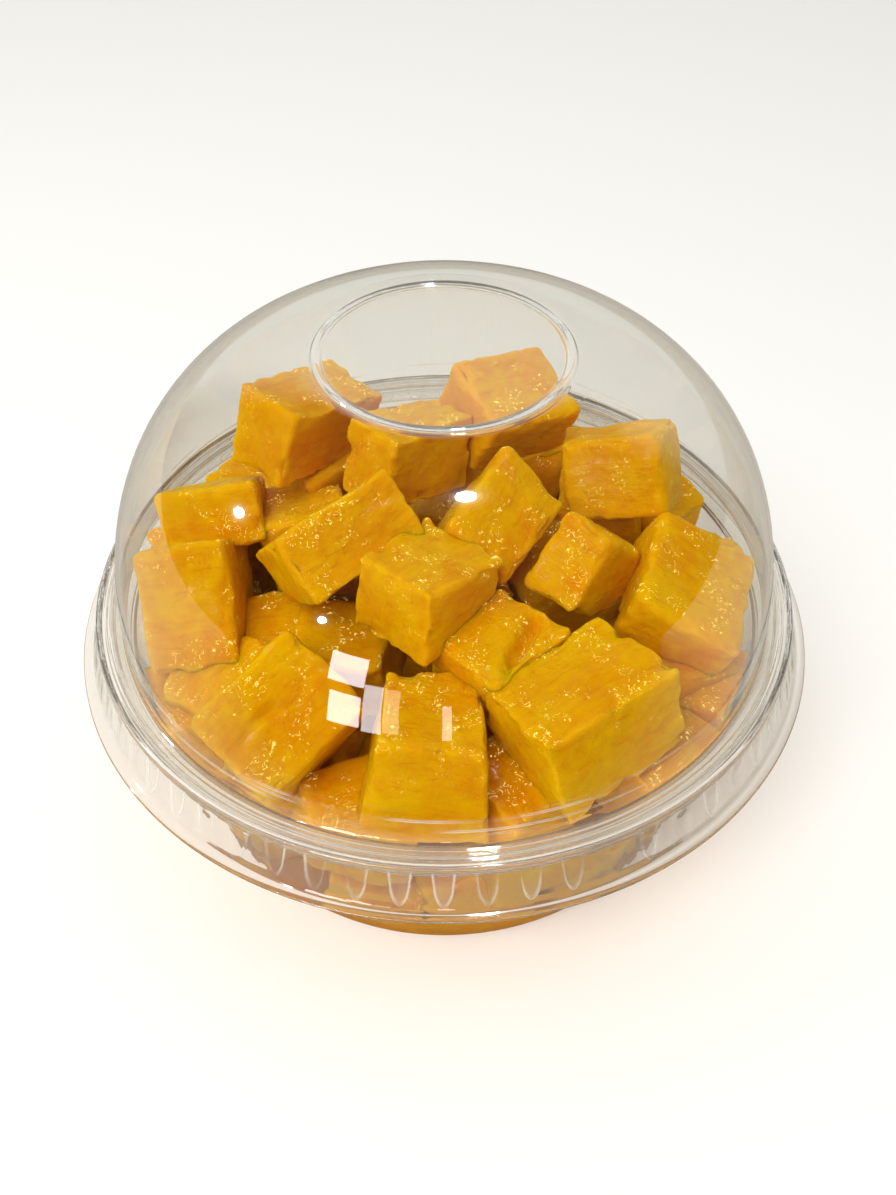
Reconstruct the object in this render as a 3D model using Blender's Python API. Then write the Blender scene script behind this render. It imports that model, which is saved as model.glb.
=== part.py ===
"""A clear, low food cup with a domed lid, filled with cubes of ripe mango.

Metres, +Z up. The origin is the centre of the face the cup stands on.
"""

import math
import random

import bmesh
import bpy
from mathutils import Euler, Matrix, Vector

MM = 0.001

# Cup
FOOT_RADIUS = 0.0369
CUP_TOP_RADIUS = 0.0438
CUP_WALL = 0.0005
CUP_WALL_TOP = 0.0314
FOOT_FILLET = 0.0016
FOOT_FILLET_ANGLE = 75
WALL_HEIGHTS = (0.0120, 0.0225)
STAND_RING_OUTER = 0.0350
STAND_RING_INNER = 0.0300
BASE_PANEL_RADIUS = 0.0288
BASE_PANEL_RISE = 0.0012
RIM_BEAD_RADIUS = 0.0014
RIM_BEAD_CENTRE = (0.0454, 0.0327)
RIM_BEAD_ANGLE = 150
RIM_BEAD_STEPS = 6

# Lid
LID_WALL = 0.0005
FLANGE_TOP = 0.0354
FLANGE_RADIUS = 0.04815
FLANGE_EDGE_ROUNDING = 0.0004
DOME_FOOT_FILLET = 0.0002
RIB_HEIGHT = 0.00025
RIB_HALF_WIDTH = 0.0003
RIB_RADII = (0.0457, 0.0467)
LIP_RADIUS = 0.0510
LIP_DROP = 0.0070
LIP_THICKNESS = 0.0005
LIP_EDGE_THICKNESS = 0.0003
SKIRT_FOOT_RADIUS = 0.0496
DOME_RADIUS = 0.04454
DOME_HEIGHT = 0.03804
DOME_SIDE_POWER = 2.84
DOME_TOP_POWER = 2.19
DOME_STEPS_OUTSIDE = 9
DOME_STEPS_INSIDE = 6
DOME_FOOT_RISE = 0.0016
PLATEAU_RADIUS = 0.0195
PLATEAU_RISE = 0.0369
TOP_RING_RADIUS = 0.01535
TOP_RING_HALF_WIDTH = 0.00055
TOP_RING_HEIGHT = 0.0004

# Gripping flutes round the lid's skirt, wide at the top and narrow at the foot
FLUTES = 60
FLUTE_DEPTH = 0.0006
FLUTE_TOP_HALF_WIDTH = 0.00115
FLUTE_FOOT_HALF_WIDTH = 0.0006
FLUTE_FOOT_DEPTH = 0.00015
FLUTE_ROWS = ((0.0009, 0.0), (0.0012, 1.0), (0.0055, 0.25), (0.0061, 0.0))

# Mango cubes that show, each at its real size. Millimetres and degrees: centre x, y, z,
# then length, width, height, then its lean about x, its lean about y and its turn.
SHOWN_CUBES = (
    (-19, 14, 51, 19, 10, 11, -10, 15, 50),
    (9, 20, 49, 15, 13, 11, 10, 15, 30),
    (-5, 10, 49, 17, 9, 11, -15, 10, 45),
    (25, 10, 46, 14, 12, 12, -30, -10, -15),
    (32, -9, 40, 15, 18, 9, 10, 20, -15),
    (-33, -8, 37, 12, 14, 17, -40, -10, 5),
    (-32, 5, 42, 14, 15, 9, -35, -10, 10),
    (-19, 5, 38, 12, 13, 13, -10, -10, 10),
    (-14, -6, 47, 17, 9, 14, 40, 25, 50),
    (-2, -14, 46, 14, 12, 10, -10, 5, 50),
    (6, -1, 44, 15, 11, 14, 20, 25, 65),
    (19, -7, 43, 8, 11, 13, 30, -35, -55),
    (7, -19, 38, 13, 11, 12, 4, 0, 45),
    (17, -28, 38, 19, 14, 13, -5, -12, 36),
    (-2, -31, 34, 14, 15, 15, -10, 5, 0),
    (-20, -26, 35, 16, 14, 13, 35, 0, 45),
    (-13, -12, 31, 13, 11, 12, 5, -5, -10),
    (9, -31, 26, 12, 12, 13, 5, 5, 40),
    (29, -15, 30, 14, 12, 12, -10, 15, 25),
    (-28, -17, 30, 13, 13, 12, 10, -10, 60),
)
CUBE_CHAMFER = 0.0009

# Cubes under the highest ones at the back, which carry them
SUPPORT_CUBES = (
    (-17, 16, 41, 13, 12, 12, 5, -5, 35),
    (9, 20, 38, 13, 13, 12, -5, 5, 20),
    (23, 13, 36, 12, 13, 12, 4, -5, -10),
    (27, -26, 27, 13, 12, 12, 5, 5, 45),
    (-11, -34, 24, 13, 12, 12, -5, 5, 20),
)

# Cubes that fill the cup below and behind them: three layers of rings, each ring's radius in mm
FILL_SEED = 7
FILL_SIZE = 14
FILL_SIZE_SPREAD = 1.5
FILL_LEAN = 14
FILL_TURN_SPREAD = 25
FILL_RING_SPREAD = 0.15
FILL_INWARDS = 1.0
FILL_OUTWARDS = 0.5
FILL_LEVEL_SPREAD = 0.8
FILL_BACK_DROP = 5.0
FILL_LAYERS = ((9, (0, 16, 31)), (21, (0, 17, 34)), (31, (0, 18, 36)))
FILL_PER_RING = (1, 7, 13)
FILL_CLEARANCE_FRONT = 13
FILL_CLEARANCE_BACK = 11

# The plain body of fruit that the cubes stand out from
CORE_BELOW_WALL = 0.0040
CORE_FLOOR = 0.0040
CORE_TOP = 0.0410
CORE_TOP_RADIUS = 0.0200

FRUIT_GAP = 0.0004
SEGMENTS = 60
SMOOTH_ANGLE = math.radians(40)
WELD_DISTANCE = 2e-6


def clear_scene():
    """Removes every object, so that only the model is left."""
    for old in list(bpy.data.objects):
        bpy.data.objects.remove(old, do_unlink=True)


def principled(name, colour, roughness, transmission=0.0, ior=1.45):
    """A Principled BSDF material."""
    material = bpy.data.materials.new(name)
    material.use_nodes = True
    shader = material.node_tree.nodes["Principled BSDF"]
    shader.inputs["Base Color"].default_value = (*colour, 1.0)
    shader.inputs["Roughness"].default_value = roughness
    shader.inputs["Metallic"].default_value = 0.0
    shader.inputs["Transmission Weight"].default_value = transmission
    shader.inputs["IOR"].default_value = ior
    return material


def add_object(name, bm, material):
    """Puts a bmesh into the scene as one smooth-shaded object."""
    bmesh.ops.recalc_face_normals(bm, faces=bm.faces)
    mesh = bpy.data.meshes.new(name)
    bm.to_mesh(mesh)
    bm.free()
    mesh.shade_smooth()
    mesh.set_sharp_from_angle(angle=SMOOTH_ANGLE)
    mesh.materials.append(material)
    obj = bpy.data.objects.new(name, mesh)
    bpy.context.scene.collection.objects.link(obj)
    return obj


def ring(bm, radius, height, count=SEGMENTS):
    """A level circle of vertices."""
    angles = [2 * math.pi * i / count for i in range(count)]
    return [bm.verts.new((radius * math.cos(a), radius * math.sin(a), height)) for a in angles]


def join_rings(bm, first, second):
    """Faces between two rings, where the second may have a multiple of the first's vertices."""
    if len(first) > len(second):
        first, second = second, first
    times = len(second) // len(first)
    for i, corner in enumerate(first):
        following = first[(i + 1) % len(first)]
        span = [second[(i * times + k) % len(second)] for k in range(times + 1)]
        if times == 1:
            bm.faces.new((corner, following, span[1], span[0]))
            continue
        middle = times // 2
        for k in range(times):
            bm.faces.new((corner if k < middle else following, span[k + 1], span[k]))
        bm.faces.new((corner, following, span[middle]))


def turned(bm, rings):
    """Joins a closed run of rings, whose first and last are capped by flat discs."""
    for first, second in zip(rings, rings[1:]):
        join_rings(bm, first, second)
    bm.faces.new(rings[0])
    bm.faces.new(rings[-1])


def arc(centre, radius, start, end, steps):
    """Points of an arc in the profile plane, from a start to an end angle in degrees."""
    points = []
    for i in range(steps + 1):
        a = math.radians(start + (end - start) * i / steps)
        points.append((centre[0] + radius * math.cos(a), centre[1] + radius * math.sin(a)))
    return points


def cup_profile():
    """Radius and height of the cup's section, from under the base to its inside."""
    fillet_centre = (FOOT_RADIUS - FOOT_FILLET, FOOT_FILLET)
    outside = [
        (BASE_PANEL_RADIUS, BASE_PANEL_RISE),
        (STAND_RING_INNER, 0.0),
        (STAND_RING_OUTER, 0.0),
    ]
    outside += arc(fillet_centre, FOOT_FILLET, -FOOT_FILLET_ANGLE, 0, 2)
    outside += [(cup_inner_radius(height) + CUP_WALL, height) for height in WALL_HEIGHTS]
    outside.append((CUP_TOP_RADIUS, CUP_WALL_TOP))
    bead = arc(RIM_BEAD_CENTRE, RIM_BEAD_RADIUS, -RIM_BEAD_ANGLE, RIM_BEAD_ANGLE, RIM_BEAD_STEPS)
    inside = [(CUP_TOP_RADIUS - CUP_WALL, RIM_BEAD_CENTRE[1])]
    inside.append((CUP_TOP_RADIUS - CUP_WALL, CUP_WALL_TOP))
    inside += [(cup_inner_radius(height), height) for height in reversed(WALL_HEIGHTS)]
    inside += arc(fillet_centre, FOOT_FILLET - CUP_WALL, 0, -FOOT_FILLET_ANGLE, 2)
    inside += [
        (STAND_RING_INNER + CUP_WALL, CUP_WALL),
        (BASE_PANEL_RADIUS + CUP_WALL, BASE_PANEL_RISE + CUP_WALL),
    ]
    return outside + bead + inside


def cup_inner_radius(height):
    """Inside radius of the cup's wall at a height."""
    slope = (CUP_TOP_RADIUS - FOOT_RADIUS) / (CUP_WALL_TOP - FOOT_FILLET)
    return FOOT_RADIUS + slope * (height - FOOT_FILLET) - CUP_WALL


def dome_radius(rise, wall=0.0):
    """Radius of the dome at a rise above the flange, less the wall where its inside is meant."""
    sine = min(1.0, (rise / (DOME_HEIGHT - wall)) ** (DOME_TOP_POWER / 2))
    cosine = math.sqrt(max(0.0, 1 - sine * sine))
    return (DOME_RADIUS - wall) * cosine ** (2 / DOME_SIDE_POWER)


def dome_points(wall, steps):
    """Section of the dome from its flat top down to its foot."""
    points = []
    start = math.acos((PLATEAU_RADIUS / (DOME_RADIUS - wall)) ** (DOME_SIDE_POWER / 2))
    foot = math.asin((DOME_FOOT_RISE / (DOME_HEIGHT - wall)) ** (DOME_TOP_POWER / 2))
    for i in range(steps + 1):
        t = start + (foot - start) * i / steps
        radius = (DOME_RADIUS - wall) * math.cos(t) ** (2 / DOME_SIDE_POWER)
        rise = (DOME_HEIGHT - wall) * math.sin(t) ** (2 / DOME_TOP_POWER)
        points.append((radius, FLANGE_TOP + rise))
    return points


def lid_top_profile():
    """Section of the lid's flat top with its raised ring, from the middle outwards."""
    level = FLANGE_TOP + PLATEAU_RISE
    width = TOP_RING_HALF_WIDTH
    return [
        (TOP_RING_RADIUS - 2 * width, level),
        (TOP_RING_RADIUS - width / 2, level + TOP_RING_HEIGHT),
        (TOP_RING_RADIUS + width / 2, level + TOP_RING_HEIGHT),
        (TOP_RING_RADIUS + 2 * width, level),
    ]


def flange_profile():
    """Section of the flange's ribbed top, from the dome's foot to the flange's edge."""
    valley = FLANGE_TOP - RIB_HEIGHT
    points = [(DOME_RADIUS + DOME_FOOT_FILLET, valley + DOME_FOOT_FILLET)]
    for radius in RIB_RADII:
        points += [(radius - 2 * RIB_HALF_WIDTH, valley), (radius, FLANGE_TOP)]
    points.append((RIB_RADII[-1] + 2 * RIB_HALF_WIDTH, valley))
    points.append((FLANGE_RADIUS - FLANGE_EDGE_ROUNDING, FLANGE_TOP))
    points.append((FLANGE_RADIUS, FLANGE_TOP - FLANGE_EDGE_ROUNDING))
    return points


def fluted_ring(bm, drop, depth_share, inset):
    """A ring of the skirt with its flutes: four vertices to each flute."""
    top, foot = FLUTE_ROWS[0][0], FLUTE_ROWS[-1][0]
    share = (drop - top) / (foot - top)
    radius = FLANGE_RADIUS + (SKIRT_FOOT_RADIUS - FLANGE_RADIUS) * share - inset
    half_width = FLUTE_TOP_HALF_WIDTH + (FLUTE_FOOT_HALF_WIDTH - FLUTE_TOP_HALF_WIDTH) * share
    pitch = 2 * math.pi / FLUTES
    offsets = (0.0, half_width / radius, pitch / 2, pitch - half_width / radius)
    points = []
    for i in range(FLUTES):
        for k, offset in enumerate(offsets):
            deep = radius - (FLUTE_DEPTH * depth_share if k == 0 else 0.0)
            a = i * pitch + offset
            points.append(bm.verts.new((deep * math.cos(a), deep * math.sin(a), FLANGE_TOP - drop)))
    return points


def build_cup(material):
    """The cup: a tapered wall, a ring to stand on, a raised base panel and a rolled rim."""
    bm = bmesh.new()
    turned(bm, [ring(bm, radius, height) for radius, height in cup_profile()])
    return add_object("cup", bm, material)


def build_lid(material):
    """The lid: dome, flat top with a ring, ribbed flange, fluted skirt and flared lip."""
    bm = bmesh.new()
    outside = lid_top_profile() + dome_points(0.0, DOME_STEPS_OUTSIDE) + flange_profile()
    rings = [ring(bm, radius, height) for radius, height in outside]
    rings += [fluted_ring(bm, drop, share, 0.0) for drop, share in FLUTE_ROWS]
    lip_height = FLANGE_TOP - LIP_DROP
    lip = [
        (SKIRT_FOOT_RADIUS + LIP_THICKNESS, lip_height + LIP_THICKNESS),
        (LIP_RADIUS, lip_height + LIP_EDGE_THICKNESS),
        (LIP_RADIUS, lip_height),
        (SKIRT_FOOT_RADIUS, lip_height),
    ]
    rings += [ring(bm, radius, height) for radius, height in lip]
    rings += [fluted_ring(bm, drop, share, LID_WALL) for drop, share in reversed(FLUTE_ROWS)]
    underside = FLANGE_TOP - RIB_HEIGHT - LID_WALL
    rings.append(ring(bm, FLANGE_RADIUS - 2 * LID_WALL, underside))
    rings.append(ring(bm, DOME_RADIUS, underside))
    inside = dome_points(LID_WALL, DOME_STEPS_INSIDE)
    rings += [ring(bm, radius, height) for radius, height in reversed(inside)]
    ceiling = FLANGE_TOP + PLATEAU_RISE - LID_WALL
    rings.append(ring(bm, TOP_RING_RADIUS + 2 * TOP_RING_HALF_WIDTH, ceiling))
    turned(bm, rings)
    return add_object("dome_lid", bm, material)


def fruit_limit(height):
    """Largest radius that fruit reaches inside the cup and the lid at a height."""
    if height < FLANGE_TOP - RIB_HEIGHT:
        return min(cup_inner_radius(height), CUP_TOP_RADIUS - CUP_WALL) - FRUIT_GAP
    return min(dome_radius(height - FLANGE_TOP + RIB_HEIGHT, LID_WALL), CUP_TOP_RADIUS) - FRUIT_GAP


def fill_cubes():
    """Placements of the cubes that fill the cup, where they are clear of the shown ones."""
    rng = random.Random(FILL_SEED)
    fixed = SHOWN_CUBES + SUPPORT_CUBES
    placements = []
    for layer, (level, radii) in enumerate(FILL_LAYERS):
        for count, radius in zip(FILL_PER_RING, radii):
            for i in range(count):
                shift = 0.5 * layer + rng.uniform(-FILL_RING_SPREAD, FILL_RING_SPREAD)
                a = 2 * math.pi * (i + shift) / count
                out = radius + rng.uniform(-FILL_INWARDS, FILL_OUTWARDS)
                rise = level + rng.uniform(-FILL_LEVEL_SPREAD, FILL_LEVEL_SPREAD)
                if level == FILL_LAYERS[-1][0]:
                    rise -= FILL_BACK_DROP * max(0.0, math.sin(a)) * out / radii[-1]
                centre = (out * math.cos(a), out * math.sin(a), rise)
                size = [FILL_SIZE + rng.uniform(-FILL_SIZE_SPREAD, FILL_SIZE_SPREAD) for _ in range(3)]
                lean = [rng.uniform(-FILL_LEAN, FILL_LEAN) for _ in range(2)]
                turn = math.degrees(a) + rng.uniform(-FILL_TURN_SPREAD, FILL_TURN_SPREAD)
                clearance = FILL_CLEARANCE_BACK if centre[1] > 0 else FILL_CLEARANCE_FRONT
                if min(math.dist(centre, placed[:3]) for placed in fixed) > clearance:
                    placements.append((*centre, *size, *lean, turn))
    return placements


def cube_matrix(placement):
    """Turn, then lean, then place: the matrix of one cube's unit box."""
    x, y, z, length, width, height, lean_x, lean_y, turn = placement
    angles = Euler((math.radians(lean_x), math.radians(lean_y), math.radians(turn)), "ZXY")
    scale = Matrix.Diagonal((length * MM, width * MM, height * MM, 1.0))
    return Matrix.Translation(Vector((x, y, z)) * MM) @ angles.to_matrix().to_4x4() @ scale


def build_cube(name, placement, chamfer):
    """One cube of mango, kept inside the cup and the lid."""
    bm = bmesh.new()
    bmesh.ops.create_cube(bm, size=1.0, matrix=cube_matrix(placement))
    if chamfer:
        bmesh.ops.bevel(bm, geom=bm.edges, offset=CUBE_CHAMFER, segments=1, affect="EDGES")
    floor = BASE_PANEL_RISE + CUP_WALL + FRUIT_GAP
    for vert in bm.verts:
        vert.co.z = max(vert.co.z, floor)
        radius = math.hypot(vert.co.x, vert.co.y)
        limit = fruit_limit(vert.co.z)
        if radius > limit:
            vert.co.x *= limit / radius
            vert.co.y *= limit / radius
    mesh = bpy.data.meshes.new(name)
    bmesh.ops.recalc_face_normals(bm, faces=bm.faces)
    bm.to_mesh(mesh)
    bm.free()
    return bpy.data.objects.new(name, mesh)


def build_core():
    """The plain body of fruit under the cubes, set back from the cup's wall."""
    profile = [
        (cup_inner_radius(CORE_FLOOR) - CORE_BELOW_WALL, CORE_FLOOR),
        (cup_inner_radius(CUP_WALL_TOP) - CORE_BELOW_WALL, CUP_WALL_TOP),
        (CORE_TOP_RADIUS, CORE_TOP),
    ]
    bm = bmesh.new()
    turned(bm, [ring(bm, radius, height, SEGMENTS // 2) for radius, height in profile])
    bmesh.ops.recalc_face_normals(bm, faces=bm.faces)
    mesh = bpy.data.meshes.new("mango_cubes")
    bm.to_mesh(mesh)
    bm.free()
    core = bpy.data.objects.new("mango_cubes", mesh)
    bpy.context.scene.collection.objects.link(core)
    return core


def unite(core, pieces):
    """Fuses the pieces to the core in one Boolean and removes them."""
    group = bpy.data.collections.new("pieces")
    bpy.context.scene.collection.children.link(group)
    for piece in pieces:
        group.objects.link(piece)
    union = core.modifiers.new("fuse", "BOOLEAN")
    union.operation = "UNION"
    union.operand_type = "COLLECTION"
    union.collection = group
    union.solver = "EXACT"
    depsgraph = bpy.context.evaluated_depsgraph_get()
    fused = bpy.data.meshes.new_from_object(core.evaluated_get(depsgraph))
    core.modifiers.clear()
    for piece in pieces:
        bpy.data.objects.remove(piece, do_unlink=True)
    bpy.data.collections.remove(group)
    return fused


def shells(bm):
    """The separate closed surfaces of a mesh, as lists of faces."""
    left = set(bm.faces)
    found = []
    while left:
        shell = [left.pop()]
        for face in shell:
            for edge in face.edges:
                for other in edge.link_faces:
                    if other in left:
                        left.remove(other)
                        shell.append(other)
        found.append(shell)
    return found


def build_mango(material):
    """All the cubes as one solid: sealed hollows and loose scraps are dropped."""
    pieces = [build_cube("shown", placement, True) for placement in SHOWN_CUBES]
    hidden = list(SUPPORT_CUBES) + fill_cubes()
    pieces += [build_cube("hidden", placement, False) for placement in hidden]
    core = build_core()
    fused = unite(core, pieces)
    bpy.data.objects.remove(core, do_unlink=True)
    bm = bmesh.new()
    bm.from_mesh(fused)
    bmesh.ops.remove_doubles(bm, verts=bm.verts, dist=WELD_DISTANCE)
    bmesh.ops.dissolve_degenerate(bm, edges=bm.edges, dist=WELD_DISTANCE)
    bmesh.ops.triangulate(bm, faces=bm.faces)
    found = sorted(shells(bm), key=len)
    for shell in found[:-1]:
        bmesh.ops.delete(bm, geom=shell, context="FACES")
    return add_object("mango_cubes", bm, material)


def main():
    clear_scene()
    clear_plastic = principled("clear_plastic", (0.92, 0.93, 0.91), 0.06, transmission=1.0, ior=1.57)
    lid_plastic = principled("lid_plastic", (0.93, 0.93, 0.90), 0.05, transmission=1.0, ior=1.57)
    mango_flesh = principled("mango_flesh", (0.83, 0.44, 0.02), 0.32)
    build_cup(clear_plastic)
    build_lid(lid_plastic)
    build_mango(mango_flesh)


main()
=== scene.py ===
"""The looks of a clear, domed cup of mango cubes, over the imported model.

Shapes are worked out in millimetres and turned into metres where a mesh is made.
"""

import math
import random

import bmesh
import bpy
from mathutils import Euler, Matrix, Vector, noise


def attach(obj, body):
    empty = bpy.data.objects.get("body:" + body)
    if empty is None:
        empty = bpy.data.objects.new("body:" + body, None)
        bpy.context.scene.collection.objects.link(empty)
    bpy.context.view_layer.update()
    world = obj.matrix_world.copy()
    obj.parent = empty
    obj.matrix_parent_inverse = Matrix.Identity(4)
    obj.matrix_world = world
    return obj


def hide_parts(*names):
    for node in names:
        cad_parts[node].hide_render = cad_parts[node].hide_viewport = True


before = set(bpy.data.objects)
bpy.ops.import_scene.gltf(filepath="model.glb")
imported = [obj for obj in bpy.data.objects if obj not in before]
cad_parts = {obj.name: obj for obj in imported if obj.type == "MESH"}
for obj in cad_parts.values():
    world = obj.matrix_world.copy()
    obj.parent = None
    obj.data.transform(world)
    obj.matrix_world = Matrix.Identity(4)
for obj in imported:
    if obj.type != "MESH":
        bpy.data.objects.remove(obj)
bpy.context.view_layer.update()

MM = 0.001

# Cup
FOOT_RADIUS = 36.9
CUP_TOP_RADIUS = 43.8
CUP_WALL = 0.5
CUP_WALL_TOP = 31.4
FOOT_FILLET = 1.6
STAND_RING_OUTER = 35.0
STAND_RING_INNER = 30.0
BASE_PANEL_RADIUS = 28.8
BASE_PANEL_RISE = 1.2
CURL_CENTRE = (45.05, 32.7)
CURL_ACROSS = 1.75
CURL_UP = 1.4
CURL_END = -115
CUP_SEGMENTS = 240

# Lid
LID_WALL = 0.5
FLANGE_TOP = 35.4
FLANGE_RADIUS = 48.15
FLANGE_EDGE_ROUNDING = 0.4
RIB_HEIGHT = 0.25
RIB_HALF_WIDTH = 0.45
RIB_RADII = (45.7, 46.7)
RIB_SHARE = 0.45
FINE_LINE_HEIGHT = 0.02
FINE_LINE_SPACING = 0.42
# How softly the flat top meets the dome, in mm
PLATEAU_BLEND = 0.12
LIP_RADIUS = 51.0
LIP_DROP = 7.0
LIP_THICKNESS = 0.5
SKIRT_FOOT_RADIUS = 49.6
DOME_RADIUS = 44.54
DOME_HEIGHT = 38.04
DOME_SIDE_POWER = 2.84
DOME_TOP_POWER = 2.19
DOME_FOOT_RISE = 0.75
DOME_FOOT_FILLET = 1.0
PLATEAU_RADIUS = 16.9
PLATEAU_RISE = 36.9
PLATEAU_LINES = (4.0, 8.0, 12.0)
SHOULDER_WIDTH = 1.5
TOP_RING_RADIUS = 15.35
TOP_RING_HALF_WIDTH = 0.55
TOP_RING_HEIGHT = 0.4
LID_SEGMENTS = 480
RING_STEPS = 22
DOME_STEPS = 30
FLANGE_STEPS = 30
SKIRT_STEPS = 11

# Gripping flutes round the lid's skirt, wide at the top and narrow at the foot
FLUTES = 60
FLUTE_DEPTH = 0.2
FLUTE_TOP_HALF_WIDTH = 1.3
FLUTE_FOOT_HALF_WIDTH = 0.8
FLUTE_TAPER = FLUTE_FOOT_HALF_WIDTH - FLUTE_TOP_HALF_WIDTH
FLUTE_TOP_DROP = 0.9
FLUTE_FOOT_DROP = 6.1

# Mango cubes that show: centre x, y, z, then length, width, height, then lean about x,
# lean about y and turn in degrees
SHOWN_CUBES = (
    (-19, 14, 51, 19, 10, 11, -10, 15, 50),
    (9, 20, 49, 15, 13, 11, 10, 15, 30),
    (-5, 10, 49, 17, 9, 11, -15, 10, 45),
    (25, 10, 46, 14, 12, 12, -30, -10, -15),
    (32, -9, 40, 15, 18, 9, 10, 20, -15),
    (-33, -8, 37, 12, 14, 17, -40, -10, 5),
    (-32, 5, 42, 14, 15, 9, -35, -10, 10),
    (-19, 5, 38, 12, 13, 13, -10, -10, 10),
    (-14, -6, 47, 17, 9, 14, 40, 25, 50),
    (-2, -14, 46, 14, 12, 10, -10, 5, 50),
    (6, -1, 44, 15, 11, 14, 20, 25, 65),
    (19, -7, 43, 8, 11, 13, 30, -35, -55),
    (7, -19, 38, 13, 11, 12, 4, 0, 45),
    (17, -28, 38, 19, 14, 13, -5, -12, 36),
    (-2, -31, 34, 14, 15, 15, -10, 5, 0),
    (-20, -26, 35, 16, 14, 13, 35, 0, 45),
    (-13, -12, 31, 13, 11, 12, 5, -5, -10),
    (9, -31, 26, 12, 12, 13, 5, 5, 40),
    (29, -15, 30, 14, 12, 12, -10, 15, 25),
    (-28, -17, 30, 13, 13, 12, 10, -10, 60),
)
SUPPORT_CUBES = (
    (-17, 16, 41, 13, 12, 12, 5, -5, 35),
    (9, 20, 38, 13, 13, 12, -5, 5, 20),
    (23, 13, 36, 12, 13, 12, 4, -5, -10),
    (27, -26, 27, 13, 12, 12, 5, 5, 45),
    (-11, -34, 24, 13, 12, 12, -5, 5, 20),
)

# Cubes pressed against the wall in front, beside the ones above
WALL_CUBES = (
    (37, -18, 28, 13, 12, 12, 0, 0, -25),
    (36, -22, 17, 13, 12, 12, 0, 5, -30),
    (-37, -19, 26, 12, 12, 12, 0, 5, 25),
    (12, -38, 19, 12, 11, 12, 5, 0, 15),
    (-22, -9, 30, 11, 12, 12, 5, 0, 15),
)

# Cubes that fill the cup below and behind: three layers of rings, each ring's radius in mm
FILL_SEED = 7
FILL_SIZE = 14
FILL_SIZE_SPREAD = 1.5
FILL_LEAN = 14
FILL_TURN_SPREAD = 25
FILL_RING_SPREAD = 0.15
FILL_INWARDS = 1.0
FILL_OUTWARDS = 0.5
FILL_LEVEL_SPREAD = 0.8
FILL_BACK_DROP = 5.0
FILL_LAYERS = ((9, (0, 16, 31)), (21, (0, 17, 34)), (31, (0, 18, 36)))
FILL_PER_RING = (1, 7, 13)
FILL_CLEARANCE_FRONT = 13
FILL_CLEARANCE_BACK = 11
FRUIT_GAP = 0.4
# The first cube's seed, and how far apart the cubes' patterns start, in mm
CUBE_SEED = 100
RELIEF_OFFSET = (31.7, 17.3, 47.1)
COLOUR_OFFSET = (40.0, 23.0, 57.0)

# Surface of a cube: how round its edges are, its grid, and how uneven its cut faces are
EDGE_RADIUS = 0.8
EDGE_RADIUS_SPREAD = 0.35
EDGE_STEPS = 3
SHOWN_STEP = 0.55
HIDDEN_STEP = 1.1
CORNER_SHIFT = 0.6
WAVE_HEIGHT = 0.45
WAVE_LENGTH = 6.5
LUMP_HEIGHT = 0.2
LUMP_LENGTH = 2.3
CUT_HEIGHT = 0.07
CUT_LENGTH = 1.3
FIBRE_HEIGHT = 0.07
FIBRE_SPACING = 0.8
FIBRE_STRETCH = 0.1
NIBBLE_DEPTH = 1.6
NIBBLE_LENGTH = 2.6
NIBBLE_REACH = 2.0
# How far the painted glow of an edge reaches: a paler colour that stands in for light shining through
# the flesh there
EDGE_GLOW_WIDTH = 1.8

# Cuts and pits of single cubes, by their number: start and end in the cube's own millimetres,
# then half width and depth
OWN_CUTS = {
    8: ((3.7, 2.1, 7.0, 7.8, 1.3, 7.0, 1.2, 0.6),),
    9: ((-6.4, -6.0, -0.3, -5.8, -6.0, -0.5, 0.6, 0.6),),
    12: ((4.6, -1.5, 6.0, -1.5, -3.4, 6.0, 1.3, 3.6), (-1.5, -3.4, 6.0, -3.4, -3.9, 6.0, 1.0, 1.6)),
    13: ((0.6, -2.5, 6.5, 8.3, -3.8, 6.5, 1.2, 0.35),),
    15: (
        (-5.0, 0.4, 6.5, -1.9, 1.2, 6.5, 1.0, 0.9),
        (-1.9, 1.2, 6.5, 0.6, 0.8, 6.5, 1.1, 1.1),
        (0.6, 0.8, 6.5, 2.6, -0.7, 6.5, 1.0, 0.8),
    ),
}
RANDOM_CUTS = 3
RANDOM_CUT_SPREAD = 0.8
RANDOM_CUT_REACH = 6.0
RANDOM_CUT_SLANT = 2.0
RANDOM_CUT_HALF_WIDTHS = (0.6, 1.1)
RANDOM_CUT_DEPTHS = (0.15, 0.5)
# How much narrower a cube is at its top than at its foot, in mm on each side
OWN_TAPERS = {14: 0.9}

# Juice at the bottom of the cup
JUICE_LEVEL = 6.0
JUICE_MENISCUS = 0.7
JUICE_MENISCUS_WIDTH = 1.6
JUICE_OVERLAP = 0.15
JUICE_STEPS = 6

# Plastic: how milky it is at its rim, the strength of its painted highlights round the flutes, of its
# painted reflections in streaks at the dome's foot and of the haze over its top ring, and its slow
# ripples
RIM_HAZE = 0.05
FLUTE_HIGHLIGHT = 0.33
FLUTE_FILL = 0.25
RING_HAZE = 0.12
STREAK_REFLECTION = 0.5
STREAK_SPACING = 0.9
# Between which rises above the flange the painted streaks of reflection are, over how many mm they
# fade out, and how the pattern that breaks them is stretched
STREAK_RISES = (0.3, 3.6)
STREAK_FADE = 2.0
STREAK_SQUEEZE = (0.55, 0.55, 8.0)
# How far from a flute's edge its painted highlight line begins to fade and ends, in mm, and where the
# skirt begins
FLUTE_LINE_EDGES = (0.05, 0.22)
SKIRT_FROM = 46.6
# How closely the painted lines' strong and weak parts follow each other, in waves per metre
UNEVEN_SCALE = 130.0
RIPPLE_LENGTH = 9.0
RIPPLE_HEIGHT = 0.03
PLASTIC_IOR = 1.57
CUP_TINT = (0.93, 0.925, 0.89, 1.0)
LID_TINT = (0.88, 0.875, 0.835, 1.0)
RIM_TINT = (0.93, 0.92, 0.885, 1.0)
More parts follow.
